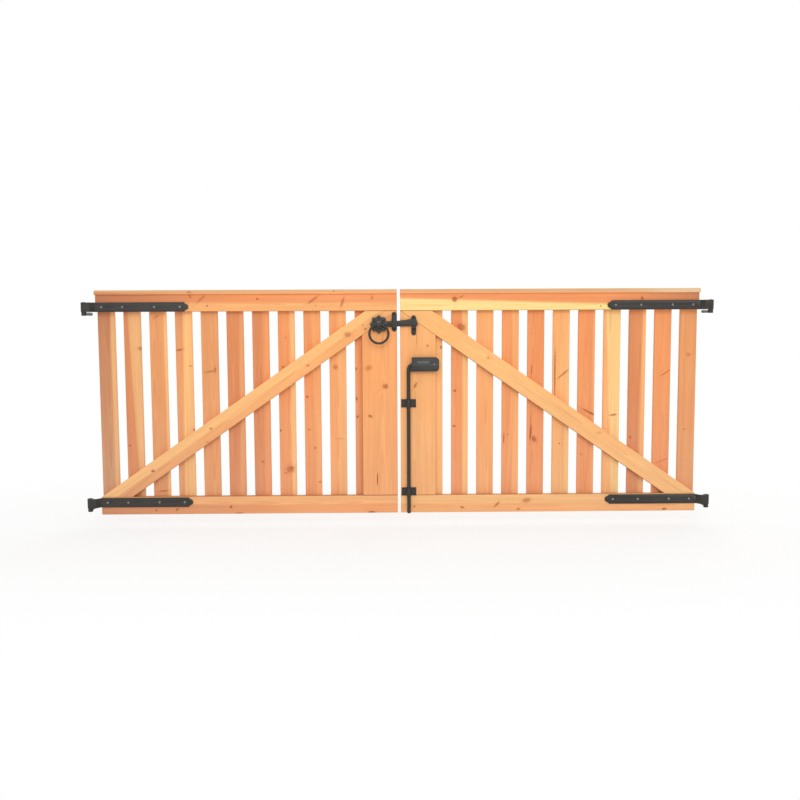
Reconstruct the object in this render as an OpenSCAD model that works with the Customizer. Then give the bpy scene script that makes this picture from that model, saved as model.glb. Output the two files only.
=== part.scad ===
// Double garden gate: two braced picket leaves on cranked strap hinges, with a ring latch and a drop bolt.
// X runs along the gate, Z is up, and the side with the fittings faces -Y.
// The origin is on the ground line, midway between the leaves, where the rails meet the pickets.

/* [Leaves] */
// Width of one leaf, from its hinge edge to its meeting edge
leaf_w = 1492; // [1100:1:1800]
// Gap between the closed leaves
meeting_gap = 16; // [12:1:20]
// Length of the pickets, which is the height of a leaf without its cap
picket_len = 1108; // [1050:1:1600]
// Width of a picket
picket_w = 84; // [60:1:95]
// Thickness of a picket
picket_t = 20; // [16:1:28]
// Number of pickets in a leaf
picket_count = 12; // [9:1:13]
// Width of the rails and of the brace
rail_w = 90; // [80:1:120]
// Thickness of the rails, the brace and the lock board
rail_t = 28; // [24:1:45]
// Width of the lock board at the meeting edge
lock_board_w = 176; // [150:1:240]
// Height of the cap strip
cap_h = 22; // [16:1:34]
// How deep the cap strip is grooved over the tops of the boards
cap_groove = 6; // [3:1:10]
// How far the cap strip stands out over the front and the back
cap_lip = 8; // [6:1:14]
// Planed bevel along the edges of every board
ease = 2; // [1:0.5:4]

/* [Strap hinges] */
// Length of a strap on the leaf, from the hinge edge to its tip
strap_len = 459; // [340:1:650]
// Height of a strap
strap_w = 47; // [36:1:60]
// Thickness of a strap
strap_t = 6; // [4:0.5:8]
// Distance of the hinge axis beyond the hinge edge of the leaf
axis_out = 52; // [42:1:64]
// Diameter of the hinge pin
pin_d = 16; // [12:1:18]
// Length of the pintle's shank in the gate post
shank_len = 104; // [60:1:160]
// Height of a lower strap's centre line above the foot of the leaf
lower_strap_z = 62; // [58:1:80]
// Diameter of a strap screw
strap_screw_d = 6; // [5:0.5:8]
// Length of a strap screw under its head
strap_screw_len = 30; // [20:1:33]

/* [Ring latch] */
// Distance of the latch spindle below the tops of the pickets
latch_drop = 157; // [145:1:230]
// Distance of the spindle from the meeting edge
latch_inset = 90; // [76:1:110]
// Side of the square spindle
spindle_side = 8; // [6:1:9]
// Reach of the latch bar from the spindle to its tip
bar_reach = 193; // [186:1:210]
// Thickness of the latch bar, without its rib
bar_t = 5.5; // [4:0.5:6]
// How far the bar is lifted off its seat, in degrees
rest_lift = 1.5; // [1.5:0.5:4]
// Radius of a rosette's round body
rosette_r = 35; // [32:1:38]
// Number of lobes on a rosette's rim
rosette_lobes = 8; // [6:1:10]
// Centre line radius of a ring handle
ring_r = 47; // [42:1:60]
// Thickness of a ring handle's wire
ring_wire = 11.5; // [8:0.5:12]

/* [Drop bolt] */
// Diameter of the bolt's rod
rod_d = 18; // [14:1:20]
// Distance of the rod from the meeting edge
rod_inset = 40; // [38:1:60]
// Distance of the grip below the tops of the pickets, with the bolt raised
grip_drop = 357; // [340:1:420]
// Width of the grip
grip_w = 135; // [110:1:150]
// Height of the grip
grip_h = 70; // [56:1:90]
// Thickness of the grip
grip_t = 30; // [28:1:40]
// Width of a guide bracket
bracket_w = 74; // [66:1:84]
// Height of a guide bracket
bracket_h = 41; // [32:1:60]
// Distance of the upper bracket below the grip, which is the throw of the bolt and a little more
bracket_drop = 195; // [190:1:260]
// Height of the middle of the lower bracket
lower_bracket_z = 109; // [80:1:160]

/* [Hidden] */
$fn = 64;
eps = 0.01;
run_fit = 0.08;
seat_gap = 0.3;
screw_fit = 0.25;

// Heights of the fittings
latch_z = picket_len - latch_drop;
grip_z = picket_len - grip_drop;
upper_bracket_z = grip_z - bracket_drop;

// Wood
pitch = (leaf_w - picket_w) / (picket_count - 1);
under_top = picket_len - rail_w;
inner_h = under_top - rail_w;
brace_angle = atan(inner_h / leaf_w) + asin(rail_w / norm([leaf_w, inner_h]));
front = -rail_t;
cap_over = 4;

// Strap hinges: the rolled eye stands just clear of the post, so the strap is cranked forward to reach it
post_gap = 2;
eye_in = pin_d / 2 + run_fit;
eye_r = eye_in + strap_t;
eye_y = front - post_gap - eye_r;
crank = post_gap + 2 * eye_r - strap_t;
crank_run = 18;
crank_slip = strap_t * tan(atan(crank / crank_run) / 2);
upper_strap_z = under_top + strap_w / 2;
strap_tip_r = strap_w * 0.31;
strap_corner = 8;
knuckle_h = 18;
knuckle_r = pin_d / 2 + 4;
shank_drop = knuckle_h / 2;
collar = 0.7;
strap_screw_first = 31;
strap_screw_step = 103;
strap_screw_last = 41;
strap_screw_gap = 127;
strap_screw_x = [
    strap_screw_first,
    strap_screw_first + strap_screw_step,
    strap_len - strap_screw_last - strap_screw_gap,
    strap_len - strap_screw_last
];

// Ring latch: the bar runs in front of the keep's plate and behind its nose
plate_t = 4;
small_head_h = 1.6;
head_clear = 0.6;
bar_clear = small_head_h + head_clear;
rib_t = 1.5;
bar_back = front - plate_t - bar_clear;
bar_front = bar_back - bar_t - rib_t;
bar_low = 14;
bar_root_up = 13.5;
bar_flare_up = 21;
bar_flare_len = 35;
bar_flare_x = bar_reach - bar_flare_len;
bar_tip_r = 10;
hub_r = 17;
lift_max = 11.5;
spindle_clear = 0.6;
spindle_hole_r = spindle_side * sqrt(2) / 2 + spindle_clear;
rim_t = 5;
dome_h = 9;
dome_base_r = rosette_r - 4;
dome_r = (dome_base_r * dome_base_r + dome_h * dome_h) / (2 * dome_h);
lobe_r = 10.5;
lobe_cap_r = lobe_r - 1;
lobe_cap_h = 3.5;
lobe_ball_r = (lobe_cap_r * lobe_cap_r + lobe_cap_h * lobe_cap_h) / (2 * lobe_cap_h);
bead_r = 6.5;
bead_ring_r = 21;
bead_z = rim_t + dome_h - bead_r;
boss_r = 11;
boss_round = 4;
ring_axis_z = 24;
ring_clear = 0.5;
ring_hole_r = ring_wire / 2 + ring_r - sqrt(ring_r * ring_r - boss_r * boss_r) + ring_clear;
boss_top = ring_axis_z + ring_hole_r + boss_round;
socket_floor = 1.5;
socket_depth = ring_axis_z - ring_hole_r - socket_floor;
latch_x = -meeting_gap / 2 - latch_inset;
knob_neck_r = 8;

guide_w = 26;
guide_edge = 0.5;
guide_leg = 4;
guide_clear = 0.8;
guide_foot_up = 20;
guide_foot_down = 17;
guide_lobe_r = guide_w / 2 - 0.5;
guide_low = latch_z - bar_low - guide_clear;
guide_reach = latch_inset - guide_edge;
guide_flare_up = bar_root_up + (bar_flare_up - bar_root_up) * pow(1.1 * guide_reach / bar_flare_x, 3);
guide_high = latch_z + guide_reach * tan(rest_lift + lift_max)
    + guide_flare_up / cos(rest_lift + lift_max) + guide_clear;
guide_top = guide_high + guide_leg + guide_foot_up;
guide_bottom = guide_low - guide_leg - guide_foot_down;
bridge_clear = 2;
guide_bridge = bar_front - bridge_clear;
guide_x = leaf_w - guide_edge - guide_w / 2;

keep_w = 24;
keep_h = 99;
keep_low = 6;
keep_from_tip = 20;
seat_clear = 0.2;
nose_clear = 0.7;
nose_top_clear = 0.5;
keep_mid_z = latch_z - keep_low;
keep_inset = bar_reach - latch_inset - meeting_gap - keep_from_tip;
keep_seat = latch_z - bar_low - seat_clear;
keep_nose_y = bar_back - bar_t - nose_clear;
keep_nose_top = latch_z + (latch_inset + meeting_gap + keep_inset - keep_w / 2) * sin(rest_lift)
    - bar_low * cos(rest_lift) - nose_top_clear;
nose_t = 3;
nose_ramp = 6;
catch_t = 8;

// Small screws of the latch and of the brackets
small_screw_d = 4.5;
small_screw_len = 22;
rear_screw_len = 20;
lobe_screw = 11;
lobe_screw_out = 2;

// Drop bolt
rod_r = rod_d / 2;
rod_bend_r = 28;
bracket_plate = 4;
rod_clear = 6;
rod_y = front - rod_clear - rod_r;
rod_x = leaf_w - rod_inset;
grip_gap = 17;
grip_corner = 18;
grip_ease = 4;
grip_crown = 2.5;
grip_crest = 6;
grip_clear = 2;
grip_web_t = 10;
grip_back = front - grip_clear;
grip_front = grip_back - grip_t;
grip_x = rod_x - grip_gap - grip_w;
rod_end_in = 15;
rod_end_x = grip_x + rod_end_in;
grip_screw_in = 9;
grip_screw_x = rod_end_x + grip_screw_in;
sleeve_wall = 3.5;
bracket_screw_in = 9;
bracket_screw_x = bracket_w / 2 - bracket_screw_in;
bracket_screw_z = bracket_h / 2 - bracket_screw_in;

larch = [0.91, 0.66, 0.42];
black = [0.16, 0.16, 0.16];
zinc = [0.72, 0.73, 0.75];

PICKETS = [for (i = [1:picket_count]) i];

// Places a leaf's own frame, whose X runs from the hinge edge to the meeting edge
module left() {
    translate([-leaf_w - meeting_gap / 2, 0, 0]) children();
}

module right() {
    mirror([1, 0, 0]) left() children();
}

// Extrudes a (y, z) outline along X
module along_x(length) {
    rotate([90, 0, 90]) linear_extrude(length) children();
}

// Extrudes an (x, z) outline from y_back towards the front
module facing(y_back, thickness) {
    translate([0, y_back, 0]) rotate([90, 0, 0]) linear_extrude(thickness) children();
}

// A cylinder along Y, from y1 to y2
module pin_y(r, y1, y2) {
    translate([0, y1, 0]) rotate([-90, 0, 0]) cylinder(r = r, h = y2 - y1);
}

// A board's section, planed off at its four edges
module eased(a, b) {
    polygon([
        [ease, 0], [a - ease, 0], [a, ease], [a, b - ease],
        [a - ease, b], [ease, b], [0, b - ease], [0, ease]
    ]);
}

// A screw whose head sits on the plane y = 0 and whose shank runs to +Y
module screw(shank_d, length, head_d, head_h) {
    dome = (head_d * head_d / 4 + head_h * head_h) / (2 * head_h);
    pin_y(shank_d / 2, -eps, length);
    intersection() {
        translate([0, dome - head_h, 0]) sphere(dome);
        pin_y(head_d, -head_h - 1, 0);
    }
}

// Wooden pieces of a leaf
module picket(i) {
    color(larch) translate([(i - 1) * pitch, 0, 0]) linear_extrude(picket_len) eased(picket_w, picket_t);
}

module rail(z) {
    color(larch) translate([0, front, z]) along_x(leaf_w) eased(rail_t, rail_w);
}

// The cap strip is grooved underneath, and its lips hide the joint along the tops of the boards
module cap_strip() {
    deep = rail_t + picket_t + 2 * cap_lip;
    color(larch) translate([-cap_over, front - cap_lip, picket_len - cap_groove]) difference() {
        along_x(leaf_w + cap_over) eased(deep, cap_h);
        translate([cap_over, cap_lip, -1]) cube([leaf_w + 1, deep - 2 * cap_lip, cap_groove + 1]);
    }
}

// The brace fills the corner at the foot of the hinge edge and ends at the top of the meeting edge
module brace() {
    color(larch) intersection() {
        translate([0, front, rail_w])
            rotate([0, -brace_angle, 0])
                translate([-leaf_w, 0, -rail_w])
                    along_x(3 * leaf_w) eased(rail_t, rail_w);
        translate([0, front - 1, rail_w]) cube([leaf_w, rail_t + 2, inner_h]);
    }
}

// The lock board stands on the bottom rail and is cut off along the underside of the brace
module lock_board() {
    color(larch) difference() {
        translate([leaf_w - lock_board_w, front, rail_w])
            linear_extrude(inner_h) eased(lock_board_w, rail_t);
        translate([leaf_w, front - 1, under_top])
            rotate([0, -brace_angle, 0])
                translate([-leaf_w, 0, 0])
                    cube([2 * leaf_w, rail_t + 2, leaf_w]);
    }
}

// Strap hinges
module strap_plan() {
    difference() {
        union() {
            polygon([
                [strap_len, front], [0, front], [-crank_run, front - crank], [-axis_out, front - crank],
                [-axis_out, eye_y - eye_r], [-crank_run - crank_slip, eye_y - eye_r],
                [-crank_slip, front - strap_t], [strap_len, front - strap_t]
            ]);
            translate([-axis_out, eye_y]) circle(eye_r);
        }
        translate([-axis_out, eye_y]) circle(eye_in);
        eye_seam();
    }
}

// The narrow seam that rolling leaves between the end of the eye and the strap
module eye_seam() {
    seam = 1.2;
    translate([-axis_out, eye_y - eye_in + eps]) square([eye_r + eps, seam]);
}

module strap_outline() {
    half = strap_w / 2;
    neck = strap_len - strap_tip_r;
    polygon([
        [-axis_out - eye_r, -half], [neck - strap_corner, -half], [neck, -half + strap_corner],
        [neck, half - strap_corner], [neck - strap_corner, half], [-axis_out - eye_r, half]
    ]);
    translate([neck, 0]) circle(strap_tip_r);
}

module strap(z) {
    color(black) translate([0, 0, z]) difference() {
        intersection() {
            translate([0, 0, -strap_w / 2]) linear_extrude(strap_w) strap_plan();
            facing(0, -2 * eye_y) strap_outline();
        }
        for (x = strap_screw_x)
            translate([x, 0, 0]) pin_y(strap_screw_d / 2 + screw_fit, 2 * eye_y, 0);
    }
}

module strap_screws() {
    head_h = 3;
    color(zinc) for (z = [lower_strap_z, upper_strap_z])
        for (x = strap_screw_x)
            translate([x, front - strap_t, z])
                screw(strap_screw_d, strap_screw_len, 2 * strap_screw_d, head_h);
}

module strap_pilots() {
    for (z = [lower_strap_z, upper_strap_z])
        for (x = strap_screw_x)
            translate([x, 0, z]) pin_y(strap_screw_d / 2, front - 1, front - strap_t + strap_screw_len);
}

// A pintle: the pin, the forged knuckle that the eye sits on, and the shank that is driven into the post
module pintle(z) {
    seat = z - strap_w / 2 - seat_gap;
    pin_top = 2;
    bevel = 2;
    color(black) translate([-axis_out, eye_y, seat]) {
        translate([0, 0, -knuckle_h]) cylinder(r = knuckle_r, h = knuckle_h);
        cylinder(d = pin_d, h = strap_w + seat_gap + pin_top - bevel);
        translate([0, 0, strap_w + seat_gap + pin_top - bevel])
            cylinder(r1 = pin_d / 2, r2 = pin_d / 2 - bevel, h = bevel);
    }
    color(black) translate([-axis_out, 0, seat - shank_drop]) {
        pin_y(pin_d / 2, eye_y, front + shank_len - pin_d / 2);
        pin_y(pin_d / 2 + collar, eye_y, front);
        translate([0, front + shank_len - pin_d / 2, 0])
            rotate([-90, 0, 0]) cylinder(r1 = pin_d / 2, r2 = 2, h = pin_d / 2);
    }
}

// Ring latch
module lobed_rim() {
    circle(rosette_r);
    for (i = [0:rosette_lobes - 1])
        rotate(i * 360 / rosette_lobes) translate([rosette_r - 1, 0]) circle(lobe_r, $fn = 32);
}

// A cast rosette on the plane z = 0: rounded lobes round a dome that carries a ring of beads
module rosette_body() {
    linear_extrude(rim_t) lobed_rim();
    for (i = [0:rosette_lobes - 1])
        rotate(i * 360 / rosette_lobes) translate([rosette_r - 1, 0]) intersection() {
            translate([0, 0, rim_t + lobe_cap_h - lobe_ball_r]) sphere(lobe_ball_r);
            cylinder(r = lobe_cap_r, h = rim_t + lobe_cap_h);
        }
    intersection() {
        translate([0, 0, rim_t + dome_h - dome_r]) sphere(dome_r, $fn = 128);
        cylinder(r = dome_base_r + 1, h = rim_t + dome_h);
    }
    for (i = [0:rosette_lobes - 1])
        rotate(i * 360 / rosette_lobes) translate([bead_ring_r, 0, bead_z]) sphere(bead_r, $fn = 32);
}

// The knob that carries a ring handle, standing on the height z1 of a rosette
module ring_boss(z1) {
    difference() {
        rotate_extrude() {
            translate([0, z1]) square([boss_r, boss_top - boss_round - z1]);
            translate([0, z1]) square([boss_r - boss_round, boss_top - z1]);
            translate([boss_r - boss_round, boss_top - boss_round]) intersection() {
                circle(boss_round);
                square(boss_round);
            }
        }
        translate([-2 * boss_r, 0, ring_axis_z]) rotate([0, 90, 0]) cylinder(r = ring_hole_r, h = 4 * boss_r);
    }
}

// The square of the spindle, turned as the lifted bar is
module spindle_section() {
    rotate(rest_lift) square(spindle_side, center = true);
}

module at_front() {
    translate([latch_x, bar_front, latch_z]) rotate([90, 0, 0]) children();
}

module at_back() {
    translate([latch_x, picket_t, latch_z]) rotate([-90, 0, 0]) children();
}

module front_rosette() {
    color(black) at_front() difference() {
        union() {
            rosette_body();
            ring_boss(rim_t);
        }
        translate([0, 0, -eps]) linear_extrude(socket_depth + eps) spindle_section();
    }
}

module rear_rosette() {
    color(black) at_back() difference() {
        rosette_body();
        translate([0, 0, -1]) cylinder(r = knob_neck_r + run_fit, h = boss_top);
        for (a = rear_screw_angles()) rotate(a) translate([rosette_r + lobe_screw_out, 0]) {
            translate([0, 0, -1]) cylinder(d = small_screw_d + 2 * screw_fit, h = boss_top);
            translate([0, 0, rim_t]) cylinder(r = small_screw_d + screw_fit, h = boss_top);
        }
    }
}

// The rear rosette is screwed down where it lies on the last picket
function rear_screw_angles() = [-360 / rosette_lobes, 0, 360 / rosette_lobes];

module rear_knob() {
    shoulder = rim_t + dome_h + seat_gap;
    color(black) at_back() difference() {
        union() {
            ring_boss(shoulder);
            translate([0, 0, seat_gap]) cylinder(r = knob_neck_r, h = shoulder);
        }
        linear_extrude(socket_depth) mirror([0, 1]) spindle_section();
    }
}

module spindle() {
    color(zinc) translate([latch_x, picket_t + socket_depth, latch_z])
            rotate([90, 0, 0])
                linear_extrude(picket_t - bar_front + 2 * socket_depth) spindle_section();
}

module ring(y_axis) {
    color(black) translate([latch_x, y_axis, latch_z - ring_r])
        rotate([90, 0, 0]) rotate_extrude($fn = 96) translate([ring_r, 0]) circle(d = ring_wire, $fn = 32);
}

// Upper edge of the bar, which rises to a flare before its tip
function bar_up(x) = bar_root_up + (bar_flare_up - bar_root_up) * pow(x / bar_flare_x, 3);

module bar_outline() {
    steps = 10;
    tip_x = bar_reach - bar_tip_r;
    circle(hub_r);
    polygon(concat(
        [[0, -bar_low], [tip_x, -bar_low], [tip_x, 0], [tip_x - 3, bar_flare_up]],
        [for (i = [steps:-1:0]) [bar_flare_x * i / steps, bar_up(bar_flare_x * i / steps)]]
    ));
    translate([tip_x - 3, bar_flare_up - bar_tip_r]) circle(bar_tip_r);
    translate([tip_x, bar_tip_r - bar_low]) circle(bar_tip_r);
}

module latch_bar() {
    rib_h = 9;
    rib_in = 10;
    rib_past = 8;
    color(black) translate([latch_x, 0, latch_z]) rotate([0, -rest_lift, 0]) difference() {
        union() {
            facing(bar_back, bar_t) bar_outline();
            facing(bar_back - bar_t + eps, rib_t + eps)
                translate([rosette_r - rib_in, -rib_h / 2])
                    square([bar_flare_x - rosette_r + rib_past, rib_h]);
            facing(front - 1, front - 1 - bar_front) circle(hub_r);
        }
        translate([0, 1, 0]) facing(front, boss_top) square(spindle_side, center = true);
    }
}

// The guide is a hat-shaped strap over the bar, with round screw lobes
module latch_guide() {
    color(black) intersection() {
        translate([guide_x - guide_w / 2, 0, 0]) along_x(guide_w) polygon([
            [front, guide_top], [front - plate_t, guide_top], [front - plate_t, guide_high + guide_leg],
            [guide_bridge - plate_t, guide_high + guide_leg], [guide_bridge - plate_t, guide_low - guide_leg],
            [front - plate_t, guide_low - guide_leg], [front - plate_t, guide_bottom], [front, guide_bottom],
            [front, guide_low], [guide_bridge, guide_low], [guide_bridge, guide_high], [front, guide_high]
        ]);
        facing(front, -guide_bridge) translate([guide_x, 0]) difference() {
            union() {
                translate([-guide_w / 2, guide_low - guide_leg])
                    square([guide_w, guide_high - guide_low + 2 * guide_leg]);
                translate([0, guide_top - guide_lobe_r]) circle(guide_lobe_r);
                translate([0, guide_high + guide_leg]) circle(guide_lobe_r);
                translate([0, guide_bottom + guide_lobe_r]) circle(guide_lobe_r);
            }
            for (z = guide_screw_z()) translate([0, z]) circle(d = small_screw_d + 2 * screw_fit);
        }
    }
}

function guide_screw_z() = [guide_bottom + lobe_screw, guide_top - lobe_screw];

// The keep: a plate with a catch that the bar drops behind, ramped so that the closing bar rides up it
module latch_keep() {
    x = leaf_w - keep_inset;
    side = 2;
    hole_deep = 9;
    color(black) difference() {
        union() {
            facing(front, plate_t) translate([x, keep_mid_z]) {
                square([keep_w, keep_h - keep_w], center = true);
                for (s = [-1, 1]) translate([0, s * (keep_h - keep_w) / 2]) circle(keep_w / 2);
            }
            translate([x - keep_w / 2 + side, 0, 0]) along_x(keep_w - 2 * side) polygon([
                [front - plate_t + 1, keep_seat], [keep_nose_y, keep_seat],
                [keep_nose_y, keep_nose_top], [keep_nose_y - nose_t, keep_nose_top],
                [keep_nose_y - nose_t - nose_ramp, keep_seat - catch_t / 2],
                [keep_nose_y - nose_t - nose_ramp / 2, keep_seat - catch_t],
                [front - plate_t + 1, keep_seat - 2 * catch_t]
            ]);
        }
        for (z = keep_screw_z())
            translate([x, 0, z]) pin_y(small_screw_d / 2 + screw_fit, front - hole_deep, front + 1);
    }
}

function keep_screw_z() = [for (s = [-1, 1]) keep_mid_z + s * (keep_h / 2 - lobe_screw)];

// Drop bolt
module rod() {
    translate([rod_x, rod_y, 0]) {
        tip = 3;
        bend_z = grip_z - rod_bend_r;
        cylinder(r1 = rod_r - tip, r2 = rod_r, h = tip);
        translate([0, 0, tip]) cylinder(r = rod_r, h = bend_z - tip);
        translate([-rod_bend_r, 0, bend_z]) rotate([90, 0, 0]) rotate_extrude(angle = 90)
            translate([rod_bend_r, 0]) circle(rod_r);
        translate([rod_end_x - rod_x, 0, grip_z])
            rotate([0, 90, 0]) cylinder(r = rod_r, h = rod_x - rod_bend_r - rod_end_x);
    }
}

module drop_rod() {
    color(black) difference() {
        rod();
        grip_screw_hole(0);
    }
}

module grip_screw_hole(extra) {
    translate([grip_screw_x, 0, grip_z])
        pin_y(small_screw_d / 2 + extra, rod_y - grip_t, rod_y + rod_r / 2);
}

// The moulded grip round the bent end of the rod, with its two free corners rounded, a crowned front, a
// raised plain bar, and a web that fills the inside of the rod's bend
module bolt_grip() {
    bar_len = 62;
    bar_h = 13;
    bar_up = 1.5;
    bar_in = 24;
    bar_rise = 11;
    half = grip_h / 2;
    color(black) difference() {
        union() {
            intersection() {
                facing(grip_back, grip_t) translate([grip_x, grip_z - half]) {
                    translate([grip_corner, 0]) square([grip_w - grip_corner, grip_h]);
                    translate([0, grip_corner]) square([grip_w, grip_h - 2 * grip_corner]);
                    for (z = [grip_corner, grip_h - grip_corner])
                        translate([grip_corner, z]) circle(grip_corner);
                }
                translate([grip_x, 0, grip_z]) along_x(grip_w) polygon([
                    [grip_back, -half], [grip_back, half], [grip_front + grip_crown + grip_ease, half],
                    [grip_front + grip_crown, half - grip_ease], [grip_front, grip_crest],
                    [grip_front, -grip_crest], [grip_front + grip_crown, -half + grip_ease],
                    [grip_front + grip_crown + grip_ease, -half]
                ]);
            }
            translate([grip_x + grip_w - bar_in - bar_len, 0, grip_z + bar_rise - bar_h / 2])
                facing(grip_front + grip_crown, bar_up + grip_crown) {
                    translate([bar_h / 2, 0]) square([bar_len - bar_h, bar_h]);
                    for (x = [bar_h / 2, bar_len - bar_h / 2]) translate([x, bar_h / 2]) circle(bar_h / 2);
                }
            facing(rod_y + grip_web_t / 2, grip_web_t) grip_web();
        }
        rod();
        grip_screw_hole(screw_fit);
    }
}

// The web's outer edge runs inside the bent rod
module grip_web() {
    inside = 2;
    polygon([
        [grip_x + grip_w - inside, grip_z - grip_h / 2], [rod_x - inside, grip_z - grip_h / 2],
        [rod_x - inside, grip_z - rod_bend_r], [rod_x - grip_gap - inside, grip_z],
        [grip_x + grip_w - inside, grip_z]
    ]);
}

module grip_screw() {
    head_h = 2.5;
    color(zinc) translate([grip_screw_x, grip_front, grip_z])
        screw(small_screw_d, rod_y + rod_r / 2 - grip_front, 2 * small_screw_d, head_h);
}

// A guide bracket: a screwed plate with a sleeve for the rod
module bracket(z) {
    short = 2;
    color(black) difference() {
        union() {
            facing(front, bracket_plate) translate([rod_x, z]) square([bracket_w, bracket_h], center = true);
            translate([rod_x, rod_y, z - bracket_h / 2 + short]) {
                cylinder(r = rod_r + sleeve_wall, h = bracket_h - 2 * short);
                translate([-rod_r - sleeve_wall, 0, 0])
                    cube([2 * (rod_r + sleeve_wall), front - rod_y - bracket_plate / 2, bracket_h - 2 * short]);
            }
        }
        translate([rod_x, rod_y, z - bracket_h]) cylinder(r = rod_r + run_fit, h = 2 * bracket_h);
        bracket_screw_places(z) pin_y(small_screw_d / 2 + screw_fit, -bracket_plate - 1, 1);
    }
}

module bracket_screw_places(z) {
    for (sx = [-1, 1]) for (sz = [-1, 1])
        translate([rod_x + sx * bracket_screw_x, front, z + sz * bracket_screw_z]) children();
}

// Small screws and the pilot holes that they leave in the wood
module small_screw() {
    color(black) screw(small_screw_d, small_screw_len, 2 * small_screw_d, small_head_h);
}

module small_pilot() {
    pin_y(small_screw_d / 2, -1, small_screw_len - plate_t);
}

module latch_screws() {
    left() for (z = guide_screw_z()) translate([guide_x, front - plate_t, z]) small_screw();
    at_back() for (a = rear_screw_angles()) rotate(a)
        translate([rosette_r + lobe_screw_out, 0, rim_t]) rotate([-90, 0, 0])
            color(black) screw(small_screw_d, rear_screw_len, 2 * small_screw_d, small_head_h);
}

module keep_and_bracket_screws() {
    right() {
        for (z = keep_screw_z()) translate([leaf_w - keep_inset, front - plate_t, z]) small_screw();
        for (z = [upper_bracket_z, lower_bracket_z])
            bracket_screw_places(z) translate([0, -bracket_plate, 0]) small_screw();
    }
}

module left_fitting_pilots() {
    left() for (z = guide_screw_z()) translate([guide_x, front, z]) small_pilot();
    translate([latch_x, 0, latch_z]) pin_y(spindle_hole_r, front - 1, picket_t + 1);
    rear_pilots();
}

module right_fitting_pilots() {
    for (z = keep_screw_z()) translate([leaf_w - keep_inset, front, z]) small_pilot();
    for (z = [upper_bracket_z, lower_bracket_z]) bracket_screw_places(z) small_pilot();
}

module rear_pilots() {
    at_back() for (a = rear_screw_angles()) rotate(a)
        translate([rosette_r + lobe_screw_out, 0, rim_t - rear_screw_len])
            cylinder(d = small_screw_d, h = rear_screw_len);
}

// A wooden piece of the left leaf, with its holes
module left_wood() {
    difference() {
        left() children();
        left() strap_pilots();
        left_fitting_pilots();
    }
}

module right_wood() {
    right() difference() {
        children();
        strap_pilots();
        right_fitting_pilots();
    }
}

left() pintle(upper_strap_z);  // upper_left_pintle
left() pintle(lower_strap_z);  // lower_left_pintle
right() pintle(upper_strap_z);  // upper_right_pintle
right() pintle(lower_strap_z);  // lower_right_pintle

left() cap_strip();  // left_cap
left_wood() rail(under_top);  // left_top_rail
left_wood() rail(0);  // left_bottom_rail
left_wood() brace();  // left_brace
left_wood() lock_board();  // left_lock_board
for (i = PICKETS) left_wood() picket(i);
left() strap(upper_strap_z);  // upper_left_strap
left() strap(lower_strap_z);  // lower_left_strap
left() strap_screws();  // left_strap_screws

right() cap_strip();  // right_cap
right_wood() rail(under_top);  // right_top_rail
right_wood() rail(0);  // right_bottom_rail
right_wood() brace();  // right_brace
right_wood() lock_board();  // right_lock_board
for (i = PICKETS) right_wood() picket(i);
right() strap(upper_strap_z);  // upper_right_strap
right() strap(lower_strap_z);  // lower_right_strap
right() strap_screws();  // right_strap_screws

left() latch_guide();
rear_rosette();
latch_screws();
spindle();  // latch_spindle
latch_bar();
front_rosette();
rear_knob();
ring(bar_front - ring_axis_z);  // front_ring
ring(picket_t + ring_axis_z);  // rear_ring

right() latch_keep();
right() bracket(upper_bracket_z);  // upper_bracket
right() bracket(lower_bracket_z);  // lower_bracket
keep_and_bracket_screws();
right() drop_rod();
right() bolt_grip();
right() grip_screw();
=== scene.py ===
import math

import bmesh
import bpy
import numpy as np
from mathutils import Matrix, Vector


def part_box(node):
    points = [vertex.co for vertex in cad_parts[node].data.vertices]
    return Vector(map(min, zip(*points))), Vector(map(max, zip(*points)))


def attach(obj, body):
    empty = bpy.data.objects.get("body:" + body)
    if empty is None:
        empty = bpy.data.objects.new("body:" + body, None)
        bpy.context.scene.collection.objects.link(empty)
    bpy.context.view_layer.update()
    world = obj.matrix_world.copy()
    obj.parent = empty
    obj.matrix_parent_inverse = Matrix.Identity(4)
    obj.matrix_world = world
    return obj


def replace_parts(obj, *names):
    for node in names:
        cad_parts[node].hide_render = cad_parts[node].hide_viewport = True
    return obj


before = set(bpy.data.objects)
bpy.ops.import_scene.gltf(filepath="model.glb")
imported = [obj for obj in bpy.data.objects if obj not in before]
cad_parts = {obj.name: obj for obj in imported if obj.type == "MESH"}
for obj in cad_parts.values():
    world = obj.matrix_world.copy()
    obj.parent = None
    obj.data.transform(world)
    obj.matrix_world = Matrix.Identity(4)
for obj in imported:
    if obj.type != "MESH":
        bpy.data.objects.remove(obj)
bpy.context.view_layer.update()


# The pickets: twelve 20 mm boards of planed larch in each leaf, oiled a warm orange and screwed to the backs
# of the rails. Each is cut from its own part of a log, with rings, pale sapwood and knots of its own.
def linear(tone):
    """A tone of 0 to 255 per channel as linear light, as shaders take it."""
    share = np.array(tone, float) / 255
    lit = np.where(share <= 0.04045, share / 12.92, ((share + 0.055) / 1.055) ** 2.4)
    return (float(lit[0]), float(lit[1]), float(lit[2]), 1.0)


def put(tree, kind, feeds=(), out=0, **settings):
    """Adds a shader node; feeds gives its inputs as plain values or as other nodes' outputs.

    The result is the node's output named out, or the node itself where out is None.
    """
    made = tree.nodes.new("ShaderNode" + kind)
    for key, value in settings.items():
        setattr(made, key, value)
    for key, value in dict(feeds).items():
        if isinstance(value, bpy.types.NodeSocket):
            tree.links.new(value, made.inputs[key])
        else:
            made.inputs[key].default_value = value
    return made if out is None else made.outputs[out]


def calc(tree, operation, *values):
    """One sum on plain numbers."""
    return put(tree, "Math", dict(enumerate(values)), operation=operation)


def move(tree, operation, *values, out=0):
    """One sum on places."""
    return put(tree, "VectorMath", dict(enumerate(values)), out=out, operation=operation)


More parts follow.
